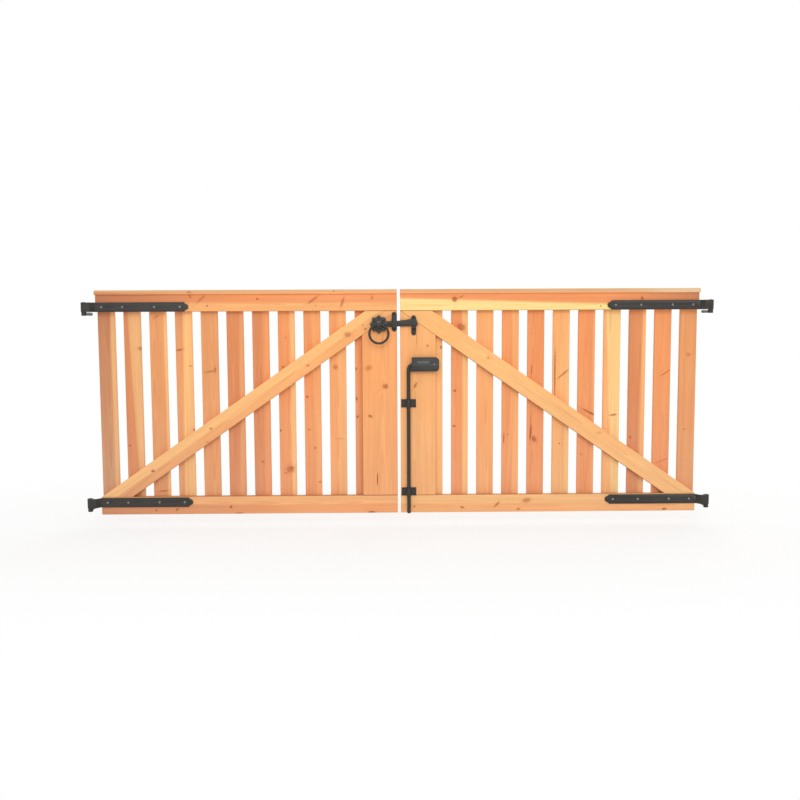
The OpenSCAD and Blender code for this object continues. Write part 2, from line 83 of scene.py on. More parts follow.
def between(tree, value, low, high, at_low=0.0, at_high=1.0):
    """Runs smoothly from at_low to at_high while value runs from low to high."""
    feeds = {"Value": value, "From Min": low, "From Max": high, "To Min": at_low, "To Max": at_high}
    return put(tree, "MapRange", feeds, interpolation_type="SMOOTHSTEP")


def mottle(tree, place, scale, detail=2.0, rough=0.5, out=0):
    """Soft random spots about one part in scale of a metre across."""
    feeds = {"Vector": place, "Scale": scale, "Detail": detail, "Roughness": rough}
    return put(tree, "TexNoise", feeds, out)


def tint(tree, share, first, second, blend_type="MIX"):
    """Mixes or multiplies two colours."""
    return put(tree, "Mix", {0: share, 6: first, 7: second}, out=2, data_type="RGBA", blend_type=blend_type)


def finish_of(name):
    """An empty material and its node tree."""
    made = bpy.data.materials.new(name)
    made.use_nodes = True
    made.node_tree.nodes.clear()
    return made, made.node_tree


def close(tree, feeds, height, depth):
    """Ends a material: its shader, with the height as a bump of the given depth in metres."""
    bump = put(tree, "Bump", {"Height": height, "Strength": 1.0, "Distance": depth})
    shader = put(tree, "BsdfPrincipled", {**feeds, "Normal": bump})
    put(tree, "OutputMaterial", {"Surface": shader}, out=None)


def dress(node, finish):
    """Gives a node of the model its material."""
    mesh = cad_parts[node].data
    if not mesh.materials:
        mesh.materials.append(finish)
    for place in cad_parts[node].material_slots:
        place.material = finish


# The shades of oiled larch, from chestnut, the darkest, to the palest sapwood.
SHADES = {
    "chestnut": linear((190, 117, 77)), "brown": linear((207, 148, 103)), "fawn": linear((224, 176, 127)),
    "russet": linear((222, 141, 88)), "tan": linear((232, 160, 102)), "orange": linear((241, 156, 96)),
    "wheat": linear((237, 180, 120)), "amber": linear((247, 168, 103)), "apricot": linear((248, 174, 108)),
    "honey": linear((249, 181, 114)), "straw": linear((251, 192, 123)), "cream": linear((252, 206, 134)),
    "pale": linear((252, 225, 147)), "bone": linear((229, 196, 152)),
}
# Grey towards which every board is painted paler near the ground: painted light.
PAINTED_LIFT_GREY = linear((192, 193, 188))
KNOT_SHADE = linear((122, 50, 12))
EYE_SHADE = linear((184, 90, 26))
# The seams' dark tone: dirt in the joints and painted contact shadow.
SEAM_DIRT_AND_SHADOW = linear((126, 56, 20))
RUDDY = (0.99, 0.92, 0.87)
LATE_WOOD = (0.72, 0.50, 0.34, 1)
SAP_SHARE, LATE_SHARE, SAWN_SHARE = 0.92, 0.36, 0.55
HALO_SHARE, RIM_SHARE = 0.34, 0.6

# Knots of each board: across the gate, height, half length, half width, slant in degrees, depth of tone, with
# all the lengths in millimetres. Long thin ones are spike knots and checks, cut lengthwise by the saw.
KNOTS = {
    "left_cap": [(-1034, 1114, 9, 4, 0, 0.6), (-320, 1116, 5, 3, 10, 0.4)],
    "left_top_rail": [
        (-700, 1079, 5, 4, 0, 0.9), (-424, 1074, 28, 5.5, 36, 0.55), (-279, 1060, 22, 5.5, 72, 0.55),
        (-132, 1083, 9, 4, 80, 0.45), (-412, 1045, 3, 3, 0, 0.7), (-949, 1046, 4, 4, 0, 0.8),
        (-1034, 1097, 11, 5, -60, 0.6), (-978, 1080, 22, 4.5, 42, 0.4),
    ],
    "left_bottom_rail": [
        (-1227, 20, 4, 4, 0, 0.9), (-1122, 24, 8, 4, 50, 0.8), (-851, 36, 6, 6, 40, 0.9),
        (-812, 2, 20, 4, 4, 0.8), (-140, 2, 17, 6, 0, 1.0),
    ],
    "left_brace": [
        (-1239, 221, 8, 6, 0, 0.9), (-943, 434, 7, 5, 0, 0.7), (-962, 366, 7, 2.5, 33, 0.6),
        (-254, 901, 16, 11, 0, 0.5), (-177, 945, 4, 3, 0, 0.5), (-165, 928, 6, 5, 0, 0.7),
        (-454, 748, 7, 4, 15, 0.7),
    ],
    "left_lock_board": [
        (-145, 492, 10, 6, -20, 0.8), (-110, 172, 28, 3.0, 88, 1.0), (-151, 734, 14, 10, 20, 0.4),
        (-67, 641, 12, 11, 0, 0.75),
    ],
    "left_picket_2": [(-1291, 836, 11, 7, 0, 0.55), (-1358, 348, 4, 4, 0, 0.8)],
    "left_picket_3": [(-1209, 993, 12, 3.5, 35, 0.5), (-1195, 114, 20, 3.5, 5, 0.6)],
    "left_picket_4": [
        (-1098, 828, 16, 4.5, 10, 0.7), (-1043, 747, 6, 3, 0, 0.6), (-1035, 426, 3, 6, 0, 0.8),
    ],
    "left_picket_5": [(-921, 727, 4, 13, 0, 0.65), (-945, 719, 28, 3.4, 10, 0.5)],
    "left_picket_7": [(-690, 260, 7, 3.5, -25, 0.7)],
    "left_picket_8": [
        (-550, 222, 19, 16, 20, 0.55), (-546, 226, 7, 6, 0, 0.9), (-574, 202, 6, 4, -30, 0.6),
        (-599, 420, 4, 5, 0, 0.9), (-579, 740, 5, 5, 0, 0.8), (-566, 887, 3.5, 3.5, 0, 0.5),
    ],
    "left_picket_9": [
        (-456, 422, 4, 4, 0, 0.6), (-424, 329, 4.5, 3.5, 0, 0.9), (-402, 155, 5, 3.5, 0, 0.9),
        (-462, 589, 5, 5, 0, 0.9),
    ],
    "left_picket_10": [(-298, 375, 18, 1.6, 0, 0.35), (-318, 738, 10, 9, 0, 0.5)],
    "left_picket_11": [(-212, 578, 4, 8, 0, 0.9), (-209, 487, 5, 6, 0, 0.9), (-214, 728, 4, 6, 0, 0.8)],
    "right_top_rail": [
        (279, 1073, 12, 11, 0, 0.95), (311, 1085, 13, 2.6, 25, 0.6), (1008, 1037, 4, 4, 0, 0.7),
        (1214, 1074, 6, 8, 0, 0.8),
    ],
    "right_bottom_rail": [
        (75, 29, 4, 3.5, 0, 0.8), (318, 25, 9, 5, -20, 0.7), (494, 39, 16, 4.5, 45, 0.65),
        (644, 59, 18, 10, 10, 0.5), (603, 14, 8, 3.5, 0, 1.0), (1346, 9, 10, 4, 0, 1.0),
    ],
    "right_brace": [(448, 781, 6, 5, 0, 0.5), (1010, 402, 7, 4, 0, 0.3)],
    "right_lock_board": [(144, 843, 6, 6, 0, 0.5), (82, 645, 14, 5, 60, 0.7), (90, 875, 40, 1.6, 88, 0.5)],
    "right_picket_1": [(1461, 792, 9, 7, 0, 0.35), (1448, 413, 5, 3, 0, 0.6)],
    "right_picket_2": [(1349, 701, 26, 2.6, 33, 0.65), (1338, 253, 30, 2, 20, 0.5)],
    "right_picket_3": [(1174, 373, 5, 5, 0, 0.8)],
    "right_picket_4": [(1084, 488, 17, 4, 8, 0.8)],
    "right_picket_5": [(967, 500, 43, 4.5, -28, 0.8), (923, 288, 3, 3, 0, 0.7)],
    "right_picket_6": [
        (787, 700, 122, 3.2, 90, 0.9), (829, 697, 36, 3.4, 40, 0.75), (812, 344, 4, 4, 0, 0.7),
    ],
    "right_picket_7": [
        (666, 399, 38, 4.2, 86, 0.95), (665, 456, 40, 1.6, 88, 0.6), (684, 368, 15, 10, -60, 0.75),
        (669, 719, 24, 2, 85, 0.8),
    ],
    "right_picket_8": [(548, 392, 3.5, 3, 0, 0.7), (531, 374, 26, 2.6, 88, 0.85)],
    "right_picket_10": [(278, 436, 7, 4, 0, 0.9), (314, 936, 20, 15, -25, 0.6), (282, 616, 6, 6, 0, 0.8)],
    "right_picket_11": [(213, 835, 4, 8, 0, 0.8)],
}
KNOT_FRAY = 0.005


def knots_of(tree, board, place, timber, mid_depth):
    """The knots of a board: how far each spot is from the nearest one, and how deep its tone is.

    A knot is an ellipse with a frayed rim. The distance, called reach, is 0 in its middle and 1 at its rim.
    """
    burr = mottle(tree, timber, 130.0, out="Color")
    frayed = move(tree, "MULTIPLY_ADD", burr, (KNOT_FRAY, 0, KNOT_FRAY), place)
    nearest, core = 9.0, 0.0
    for x, z, long, wide, turn, depth in KNOTS[board]:
        middle = (x / 1000 + KNOT_FRAY / 2, mid_depth, z / 1000 + KNOT_FRAY / 2)
        feeds = {"Vector": frayed, "Location": middle, "Rotation": (0, -math.radians(turn), 0),
                 "Scale": (long / 1000, 1.0, wide / 1000)}
        reach = move(tree, "LENGTH", put(tree, "Mapping", feeds, vector_type="TEXTURE"), out="Value")
        nearest = calc(tree, "MINIMUM", nearest, reach)
        core = calc(tree, "MAXIMUM", core, between(tree, reach, 1.25, 0.75, 0.0, depth))
    return nearest, core


# Sizes in a board: the width of a year's ring, how far the rings wander and how far they swerve at a knot,
# half the sapwood's soft edge, the reach of a seam's dark band of dirt and painted contact shadow, between
# which heights the wood is painted paler and greyer towards the ground as painted light, and by what share,
# and the depth of the grain's relief.
YEAR_RING, WANDER, SWERVE = 0.0026, 0.05, 0.008
SAP_BLUR = 0.007
SEAM_RIM, SEAM_CORE = 0.0032, 0.0012
PAINTED_LIFT_TOP, PAINTED_LIFT_FOOT, PAINTED_LIFT_SHARE = 0.85, 0.05, 0.11
WOOD_RELIEF = 0.0002


def larch(board, lie, seed, heart, sap=None, sap_from=0.0, slant=0.0, sapside=-1, pith=(0.05, 0.012),
          lean=0.02, aged=None, old="chestnut", butts=()):
    """Oiled larch for one board, whose length is turned by lie from the way across the gate.

    The rings are cylinders round a pith that runs beside the board and leans a little along it, so the
    board's face cuts them into long flames: ring number = distance from the pith / 2.6 mm. Each ring darkens
    slowly and ends sharply, and bends round the knots, whose own small rings follow their reach. Sapwood lies
    where sapside * across is past sap_from + slant * along. The span argument gives two places along the
    board between which it goes from a second shade, chestnut unless named, to its own. Towards the ground
    every board is painted a little paler and greyer, as painted light. butts are the lines where it meets
    another board, each with its axis, its place and its depth of tone: within 3 mm of them the wood darkens,
    partly from oil and dirt in the joint and partly as painted contact shadow.
    """
    low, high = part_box(board)
    centre = (low + high) / 2
    made, tree = finish_of("larch_" + board)
    coord = put(tree, "TexCoord", out=None)
    place = coord.outputs["Object"]
    feeds = {"Vector": place, "Location": centre, "Rotation": (0, lie, 0)}
    spot = put(tree, "Mapping", feeds, vector_type="TEXTURE")
    along, through, across = put(tree, "SeparateXYZ", {"Vector": spot}, out=None).outputs
    sideways, _, level = put(tree, "SeparateXYZ", {"Vector": place}, out=None).outputs
    timber = move(tree, "ADD", spot, (seed * 1.7, seed * 0.9, seed * 2.3))
    fibre = move(tree, "MULTIPLY", timber, (0.03, 1, 1))

    knotty = board in KNOTS
    swerve = core = 0.0
    if knotty:
        nearest, core = knots_of(tree, board, place, timber, centre.y)
        swerve = between(tree, nearest, 3.6, 0.9)

    bend = mottle(tree, move(tree, "MULTIPLY", timber, (0.9, 3, 3)), 1.0)
    bend = calc(tree, "MULTIPLY_ADD", bend, WANDER, -WANDER / 2)
    deep = calc(tree, "ADD", through, calc(tree, "MULTIPLY_ADD", along, lean, pith[0]))
    wide = calc(tree, "ADD", across, calc(tree, "ADD", bend, pith[1]))
    radius = move(tree, "LENGTH", put(tree, "CombineXYZ", {"X": deep, "Y": wide}), out="Value")
    radius = calc(tree, "MULTIPLY_ADD", swerve, SWERVE, radius)
    uneven = mottle(tree, put(tree, "CombineXYZ", {"X": radius, "Y": seed}), 55.0)
    ring = calc(tree, "MULTIPLY_ADD", uneven, 3.0, calc(tree, "DIVIDE", radius, YEAR_RING))
    year = calc(tree, "FRACT", ring)
    late = calc(tree, "MULTIPLY", between(tree, year, 0.25, 0.92), between(tree, year, 1.0, 0.93))
    season = put(tree, "TexWhiteNoise", {"W": calc(tree, "FLOOR", ring)}, noise_dimensions="1D")
    late = calc(tree, "MULTIPLY", late, calc(tree, "MULTIPLY_ADD", season, 0.5, 0.5))

    streak = mottle(tree, fibre, 60.0, 3.0, 0.6)
    hair = mottle(tree, fibre, 900.0, 2.0, 0.6)
    cloud = mottle(tree, move(tree, "MULTIPLY", timber, (0.5, 1, 1)), 6.0, 3.0)
    tone = SHADES[heart]
    ruddy = (tone[0] * RUDDY[0], tone[1] * RUDDY[1], tone[2] * RUDDY[2], 1)
    face = tint(tree, between(tree, cloud, 0.35, 0.65), tone, ruddy)
    # Between two places along the board it runs from a second shade to its own.
    if aged:
        face = tint(tree, between(tree, along, *aged), SHADES[old], face)
    if sap:
        edge = calc(tree, "MULTIPLY_ADD", along, -slant, calc(tree, "MULTIPLY", across, sapside))
        edge = calc(tree, "MULTIPLY_ADD", bend, 0.4, edge)
        share = between(tree, edge, sap_from - SAP_BLUR, sap_from + SAP_BLUR, 0.0, SAP_SHARE)
        face = tint(tree, share, face, SHADES[sap])
    # Painted light: paler and greyer towards the ground, lifting the lower boards.
    face = tint(tree, between(tree, level, PAINTED_LIFT_TOP, PAINTED_LIFT_FOOT, 0.0, PAINTED_LIFT_SHARE), face, PAINTED_LIFT_GREY)
    dark = tint(tree, 1.0, face, LATE_WOOD, "MULTIPLY")
    grain = tint(tree, calc(tree, "MULTIPLY", late, LATE_SHARE), face, dark)
    worn = between(tree, streak, 0.25, 0.75, 0.92, 1.05)
    worn = calc(tree, "MULTIPLY", worn, between(tree, hair, 0.3, 0.7, 0.96, 1.03))
    grain = tint(tree, 1.0, grain, worn, "MULTIPLY")
    if knotty:
        grain = tint(tree, between(tree, nearest, 2.4, 0.9, 0.0, HALO_SHARE), grain, dark)
        small_rings = calc(tree, "FRACT", calc(tree, "MULTIPLY", nearest, 3.2))
        eye = tint(tree, between(tree, small_rings, 0.1, 0.9), EYE_SHADE, KNOT_SHADE)
        rim = calc(tree, "MULTIPLY", between(tree, nearest, 0.6, 0.95), between(tree, nearest, 1.3, 1.0))
        eye = tint(tree, calc(tree, "MULTIPLY", rim, RIM_SHARE), eye, KNOT_SHADE)
        core_share = calc(tree, "MULTIPLY", core, between(tree, streak, 0.2, 0.8, 0.95, 0.75))
        grain = tint(tree, core_share, grain, eye)
    lengthwise = (math.cos(lie), 0, -math.sin(lie))
    sawn = move(tree, "DOT_PRODUCT", coord.outputs["Normal"], lengthwise, out="Value")
    sawn = between(tree, calc(tree, "ABSOLUTE", sawn), 0.75, 0.95, 0.0, SAWN_SHARE)
    grain = tint(tree, sawn, grain, dark)
    # Dark bands along the butts: dirt in the joints and painted contact shadow.
    for axis, line, depth in butts:
        off = {"x": sideways, "z": level, "across": across}[axis]
        off = calc(tree, "ABSOLUTE", calc(tree, "SUBTRACT", off, line))
        grain = tint(tree, between(tree, off, SEAM_RIM, SEAM_CORE, 0.0, depth), grain, SEAM_DIRT_AND_SHADOW)

    rough = calc(tree, "MULTIPLY_ADD", late, -0.08, between(tree, hair, 0.2, 0.8, 0.52, 0.64))
    height = calc(tree, "MULTIPLY_ADD", late, 0.5, calc(tree, "MULTIPLY", hair, 0.6))
    height = calc(tree, "MULTIPLY_ADD", core, -1.5, height)
    close(tree, {"Base Color": grain, "Roughness": rough, "IOR": 1.45}, height, WOOD_RELIEF)
    return made


# What each picket is cut from, counted from the hinge edge: its heartwood, and its sapwood with where that
# starts from the picket's middle and how it slants. The sapwood lies to the viewer's right. Two of them turn
# chestnut towards their tops, between two places along them, measured from their middle.
UPRIGHT = -math.pi / 2
PICKETS = {
    "left": [
        ("brown", "wheat", 0.022, 0.0), ("russet", "wheat", 0.004, -0.05), ("tan", "straw", 0.030, 0.0),
        ("tan", "straw", -0.004, 0.01), ("tan",), ("russet", "tan", 0.020, 0.01),
        ("russet", "orange", 0.008, 0.0), ("orange", "straw", 0.018, 0.0), ("orange", "amber", 0.004, -0.02),
        ("amber", "honey", 0.002, 0.0), ("orange", "honey", -0.006, 0.0), ("amber",),
    ],
    "right": [
        ("tan",), ("orange",), ("russet", "honey", 0.020, 0.01), ("honey", "cream", -0.010, -0.04),
        ("orange", "amber", 0.026, 0.0), ("honey", "straw", 0.020, 0.04), ("orange",),
        ("orange", "apricot", 0.006, 0.0), ("apricot",), ("orange", "straw", 0.012, 0.0),
        ("honey", "straw", 0.004, 0.0), ("tan", "honey", -0.02, 0.01),
    ],
}
DARKER_TOPS = {"left_picket_1": (0.9, -0.3), "left_picket_4": (1.5, 0.0)}
FIRST_SEED = {"left": 3, "right": 23}
for side in ("left", "right"):
    for i, wood in enumerate(PICKETS[side]):
        board = "%s_picket_%d" % (side, i + 1)
        seed = i + FIRST_SEED[side]
        pith = (0.035 + 0.011 * (seed % 4), 0.018 * math.sin(seed * 2.1))
        lean = 0.012 * math.cos(seed * 1.3)
        dress(board, larch(board, UPRIGHT, seed, *wood, pith=pith, lean=lean, aged=DARKER_TOPS.get(board)))


# The frame of each leaf: two rails, a brace and a lock board of 28 mm larch in one plane, and a grooved cap
# strip nailed along the top. A dark seam, partly dirt in the joint and partly painted contact shadow, shows
# wherever one of them butts against another, and a painted shadow line runs along each brace's lower edge.
BRACE_SLOPE = math.radians(34.8)
HALF_BRACE = 0.045
top_rail, foot_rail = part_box("left_top_rail"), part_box("left_bottom_rail")
UNDER_RAIL, OVER_FOOT = ("z", top_rail[0].z, 0.5), ("z", foot_rail[1].z, 0.5)
LEVEL_BOARDS = {
    "left_cap": dict(seed=41, heart="apricot", sap="fawn", sapside=1, pith=(0.06, 0.01), lean=0.010,
                     aged=(-1.2, 0.2)),
    "right_cap": dict(seed=42, heart="fawn", sap="amber", sap_from=0.0075, slant=0.01, pith=(0.05, -0.02),
                      lean=0.012, aged=(0.62, 0.38), old="bone"),
    "left_top_rail": dict(seed=43, heart="orange", sap="honey", sap_from=0.004, pith=(0.045, 0.01),
                          lean=0.008, aged=(-0.80, 0.05), butts=[UNDER_RAIL]),
    "right_top_rail": dict(seed=44, heart="orange", sap="pale", sap_from=0.005, slant=0.026,
                           pith=(0.06, 0.02), lean=0.006, aged=(0.95, 0.20), butts=[UNDER_RAIL]),
    "left_bottom_rail": dict(seed=45, heart="amber", sap="honey", sap_from=0.004, sapside=1,
                             pith=(0.05, -0.012), lean=0.010, aged=(-1.5, 0.6), butts=[OVER_FOOT]),
    "right_bottom_rail": dict(seed=46, heart="honey", sap="straw", sapside=1, pith=(0.04, 0.015), lean=0.009,
                              butts=[OVER_FOOT]),
}
for board, wood in LEVEL_BOARDS.items():
    dress(board, larch(board, 0.0, **wood))

# Each brace's lower edge takes the seam tone as a painted shadow line along it.
dress("left_brace", larch("left_brace", -BRACE_SLOPE, seed=47, heart="honey", sap="straw", sapside=1,
                          pith=(0.055, 0.006), lean=0.007, aged=(-2.4, 0.4),
                          butts=[UNDER_RAIL, ("across", -HALF_BRACE, 0.5)]))
dress("right_brace", larch("right_brace", BRACE_SLOPE, seed=48, heart="straw", pith=(0.05, -0.01), lean=0.008,
                           butts=[UNDER_RAIL, ("across", -HALF_BRACE, 0.75)]))
left_lock_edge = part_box("left_lock_board")[0].x
dress("left_lock_board", larch("left_lock_board", UPRIGHT, seed=49, heart="apricot", sap="amber",
                               sap_from=0.050, slant=-0.04, pith=(0.10, 0.012), lean=0.010,
                               butts=[("z", foot_rail[1].z, 0.9), ("x", left_lock_edge, 0.7)]))
dress("right_lock_board", larch("right_lock_board", UPRIGHT, seed=50, heart="honey", pith=(0.045, -0.02),
                                lean=0.012, butts=[("z", foot_rail[1].z, 0.6)]))


# The screws that hold the boards together: small zinc-plated wood screws with 8 mm heads, driven from the
# back of each picket, two at each rail and one where it crosses the brace.
def zinc_plate():
    """Zinc plate: a pale bluish metal, a little cloudy and finely pitted."""
    made, tree = finish_of("zinc_plate")
    place = put(tree, "TexCoord", out="Object")
    cloud = mottle(tree, place, 160.0, 3.0)
    pits = mottle(tree, place, 1800.0, 2.0)
    colour = tint(tree, between(tree, cloud, 0.3, 0.7), linear((130, 131, 132)), linear((156, 155, 152)))
    rough = between(tree, cloud, 0.3, 0.7, 0.40, 0.56)
    close(tree, {"Base Color": colour, "Roughness": rough, "Metallic": 1.0}, pits, 0.00004)
    return made


# Shares of a screw's own sizes: where the shank ends and how thick the point is, then the half width, the
# length and the fade of a recess's arm, and its depth.
SHANK_END, POINT_R = 0.8, 0.2
ARM_HALF_W, ARM_LENGTH, ARM_FADE, RECESS = 0.09, 0.62, 0.18, 0.55


def turned_screw(head_r, head_h, shank_r, length, around, rows):
    """A screw with a domed head and a cross recess, its head's underside at z = 0, its point at z = -length.

    The profile runs from the crown over the dome to the rim, in under the head and down the shank. The dome
    is head_h * (1 - (r / head_r)^2)^0.5, and the recess sinks it where the smaller of |x| and |y| is under an
    arm's half width, fading out towards the arm's end.
    """
    dome = head_r * np.sin(np.linspace(0, math.pi / 2, rows))
    r = np.concatenate([dome, [shank_r, shank_r, shank_r * POINT_R]])
    angle = np.linspace(0, 2 * math.pi, around, endpoint=False)
    rr, aa = np.meshgrid(r, angle, indexing="ij")
    x, y = rr * np.cos(aa), rr * np.sin(aa)
    z = head_h * np.sqrt(np.clip(1 - (rr / head_r) ** 2, 0, 1))
    arm = np.clip(1.6 - np.minimum(abs(x), abs(y)) / (ARM_HALF_W * head_r), 0, 1)
    fade = np.clip((ARM_LENGTH - rr / head_r) / ARM_FADE, 0, 1)
    z -= RECESS * head_h * arm * fade
    z[rows] = 0.0
    z[rows + 1] = -length * SHANK_END
    z[rows + 2] = -length
    return np.stack([x, y, z], -1)


TO_FRONT, TO_BACK = -1, 1
SCREW_SPIN = 2.4


def screw_mesh(name, places, facing, form):
    """One mesh of like screws: the grid of turned_screw, spun further for each screw and set at its place."""
    grid = turned_screw(**form)
    rows, around = grid.shape[:2]
    spins = SCREW_SPIN * np.arange(len(places))
    c, s = np.cos(spins)[:, None, None], np.sin(spins)[:, None, None]
    x = c * grid[..., 0] - s * grid[..., 1]
    y = s * grid[..., 0] + c * grid[..., 1]
    z = np.broadcast_to(grid[..., 2], x.shape)
    points = np.stack([x * -facing, z * facing, y], -1) + np.array(places)[:, None, None, :]
    cell = np.arange(rows * around).reshape(rows, around)
    past = np.roll(cell, -1, 1)
    quads = np.stack([cell[1:], past[1:], past[:-1], cell[:-1]], -1).reshape(-1, 4)
    tip = cell[-1][None]
    faces = []
    for k in range(len(places)):
        faces += (quads + k * cell.size).tolist() + (tip + k * cell.size).tolist()
    mesh = bpy.data.meshes.new(name)
    mesh.from_pydata(points.reshape(-1, 3).tolist(), [], faces)
    shape = bmesh.new()
    shape.from_mesh(mesh)
    bmesh.ops.remove_doubles(shape, verts=shape.verts, dist=1e-7)
    bmesh.ops.recalc_face_normals(shape, faces=shape.faces)
    shape.to_mesh(mesh)
    shape.free()
    mesh.shade_smooth()
    mesh.set_sharp_from_angle(angle=math.radians(50))
    return mesh


def add_piece(name, mesh, finish, body):
    """Puts a finished mesh into the scene, on the body that carries it."""
    mesh.materials.clear()
    mesh.materials.append(finish)
    made = bpy.data.objects.new(name, mesh)
    bpy.context.scene.collection.objects.link(made)
    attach(made, body)
    return made


zinc = zinc_plate()
PICKET_SCREW = dict(head_r=0.004, head_h=0.0009, shank_r=0.0018, length=0.020, around=12, rows=5)
SCREW_OUT, SCREW_UP = 0.020, 0.018
CLEAR_OF_WOOD = 0.0002
BRACE_FOOT_X, BRACE_FOOT_Z = 1.5, 0.035
CLEAR_OF_RAIL = 0.03
for side, body in (("left", "left_leaf"), ("right", "right_leaf")):
    places = []
    for i in range(len(PICKETS[side])):
        low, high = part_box("%s_picket_%d" % (side, i + 1))
        middle, back = (low.x + high.x) / 2, high.y + CLEAR_OF_WOOD
        for rail in (top_rail, foot_rail):
            rail_z = (rail[0].z + rail[1].z) / 2
            places.append((middle - SCREW_OUT, back, rail_z - SCREW_UP))
            places.append((middle + SCREW_OUT, back, rail_z + SCREW_UP))
        brace_z = BRACE_FOOT_Z + (BRACE_FOOT_X - abs(middle)) * math.tan(BRACE_SLOPE)
        if foot_rail[1].z + CLEAR_OF_RAIL < brace_z < top_rail[0].z - CLEAR_OF_RAIL:
            places.append((middle, back, brace_z))
    screws = screw_mesh(side + "_picket_screws", places, TO_BACK, PICKET_SCREW)
    add_piece(side + "_picket_screws", screws, zinc, body)


# The strap hinges: 6 mm flat steel, cranked forward at the hinge edge and rolled into an eye, sheared to a
# rounded tip, and coated with black powder. Four domed screws hold each one through the rail.
def black_coat():
    """Black powder coat: satin, with a fine orange-peel surface and a faint dusty bloom."""
    made, tree = finish_of("black_coat")
    place = put(tree, "TexCoord", out="Object")
    bloom = mottle(tree, place, 22.0, 4.0, 0.6)
    peel = mottle(tree, place, 900.0, 2.0)
    dents = mottle(tree, place, 70.0, 2.0)
    colour = tint(tree, between(tree, bloom, 0.35, 0.7), linear((36, 32, 27)), linear((47, 43, 38)))
    rough = between(tree, bloom, 0.3, 0.7, 0.44, 0.58)
    height = calc(tree, "MULTIPLY_ADD", peel, 0.25, dents)
    close(tree, {"Base Color": colour, "Roughness": rough, "IOR": 1.5}, height, 0.0002)
    return made


def merged_copy(node):
    """A closed copy of a CAD piece's mesh, with the flat faces whole again."""
    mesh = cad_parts[node].data.copy()
    shape = bmesh.new()
    shape.from_mesh(mesh)
    bmesh.ops.remove_doubles(shape, verts=shape.verts, dist=2e-6)
    bmesh.ops.dissolve_limit(shape, angle_limit=math.radians(0.5), verts=shape.verts, edges=shape.edges)
    shape.to_mesh(mesh)
    shape.free()
    return mesh


def rounded(node, body, finish, edge):
    """A copy of a CAD piece with its sharp edges rounded over by the given radius, shown in its place."""
    mesh = merged_copy(node)
    mesh.shade_smooth()
    made = add_piece("rounded_" + node, mesh, finish, body)
    arris = made.modifiers.new("arris", "BEVEL")
    arris.width = edge
    arris.segments = 2
    arris.limit_method = "ANGLE"
    arris.angle_limit = math.radians(40)
    arris.harden_normals = True
    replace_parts(made, node)
    return made


black = black_coat()
THICK_EDGE = 0.0008
for side in ("left", "right"):
    for level in ("upper", "lower"):
        rounded("%s_%s_strap" % (level, side), side + "_leaf", black, THICK_EDGE)


def shells(node):
    """The lowest and highest corner of each loose shell in a node, one for each screw.

    Each point starts with its own number, and every edge gives both its ends the lower of their two numbers
    until nothing changes, so the points of one shell end with the same number.
    """
    mesh = merged_copy(node)
    spots = np.empty(3 * len(mesh.vertices))
    mesh.vertices.foreach_get("co", spots)
    spots = spots.reshape(-1, 3)
    ends = np.empty(2 * len(mesh.edges), dtype=np.int32)
    mesh.edges.foreach_get("vertices", ends)
    ends = ends.reshape(-1, 2)
    number, before = np.arange(len(spots)), None
    while not np.array_equal(number, before):
        before = number.copy()
        lower = number[ends].min(1)
        np.minimum.at(number, ends[:, 0], lower)
        np.minimum.at(number, ends[:, 1], lower)
    bpy.data.meshes.remove(mesh)
    return [(spots[number == k].min(0), spots[number == k].max(0)) for k in np.unique(number)]


STRAP_SCREW = dict(head_r=0.006, head_h=0.003, shank_r=0.003, length=0.030, around=48, rows=22)
for side in ("left", "right"):
    node = side + "_strap_screws"
    places = [((low[0] + high[0]) / 2, low[1] + STRAP_SCREW["head_h"], (low[2] + high[2]) / 2)
              for low, high in shells(node)]
    screws = screw_mesh(side + "_domed_screws", places, TO_FRONT, STRAP_SCREW)
    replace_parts(add_piece(side + "_domed_screws", screws, zinc, side + "_leaf"), node)


# The pintles: a 16 mm pin on a forged knuckle, with a collar and a shank that is driven into the post.
# They carry the eyes of the straps and have the same black coat.
for side in ("left", "right"):
    for level in ("upper", "lower"):
        rounded("%s_%s_pintle" % (level, side), "pintles", black, THICK_EDGE)


# The ring latch: cast-iron rosettes with rounded lobes and a ring of beads, a flat bar on a square spindle,
# and round-wire rings that hang in the knobs. The castings have soft edges everywhere and a coarser black
# coat, and the bar, its guide and its keep are cut from flat steel.
def cast_coat():
    """Black coat on sand-cast iron: the grain of the sand shows as small low bumps."""
    made, tree = finish_of("cast_coat")
    place = put(tree, "TexCoord", out="Object")
    sand = mottle(tree, place, 420.0, 3.0, 0.6)
    bloom = mottle(tree, place, 60.0, 3.0)
    colour = tint(tree, between(tree, bloom, 0.35, 0.7), linear((28, 25, 21)), linear((40, 36, 31)))
    rough = between(tree, sand, 0.3, 0.7, 0.34, 0.46)
    feeds = {"Base Color": colour, "Roughness": rough, "IOR": 1.45, "Coat Weight": 0.5,
             "Coat Roughness": 0.12}
    close(tree, feeds, sand, 0.0002)
    return made


WEB_IN, WEB_OUT, WEB_SIDES = 0.030, 0.038, 96


